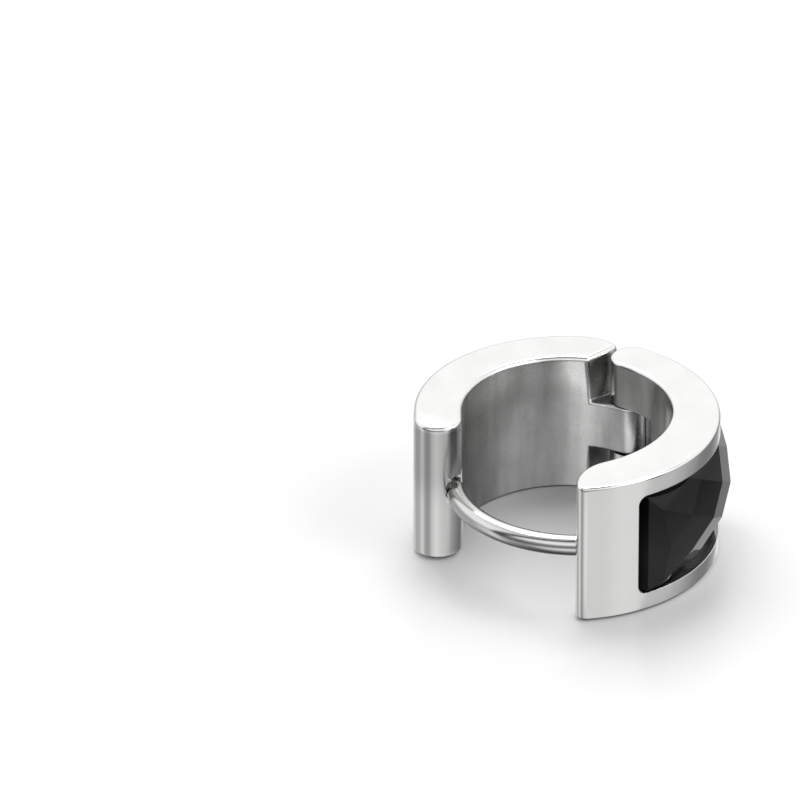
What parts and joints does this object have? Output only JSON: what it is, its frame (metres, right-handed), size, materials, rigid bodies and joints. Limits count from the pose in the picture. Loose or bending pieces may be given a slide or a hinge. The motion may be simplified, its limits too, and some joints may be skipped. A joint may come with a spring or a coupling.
{
  "type": "hinged huggie hoop earring",
  "caption": "Small hinged huggie hoop earring of polished steel, with a curved ear post and one long faceted black stone set in a frame in its front band.",
  "frame": {"origin": "middle of the earring's box, on the surface that it lies on", "axes": "+Z along the hoop's axis, up as the earring lies on its side; the hinge is on +X, the gap that the ear post closes is on -X, and the stone faces -Y"},
  "size_m": [0.0136, 0.015, 0.007],
  "materials": {
    "front_steel": "mirror polished outside, satin inside",
    "back_steel": "mirror polished outside, satin inside",
    "pin_steel": "satin",
    "black_stone": "black, polished, faceted, opaque"
  },
  "bodies": {
    "front": {"front_band": "front_steel", "hinge_pin": "pin_steel", "stone": "black_stone"},
    "back": {"back_band": "back_steel"}
  },
  "joints": [
    {"name": "hinge", "type": "hinge", "parent": "front", "child": "back", "pos_m": [0.00581, 0.00039, 0.0035], "axis": [0, 0, 1], "range_deg": [-50, 0]}
  ]
}
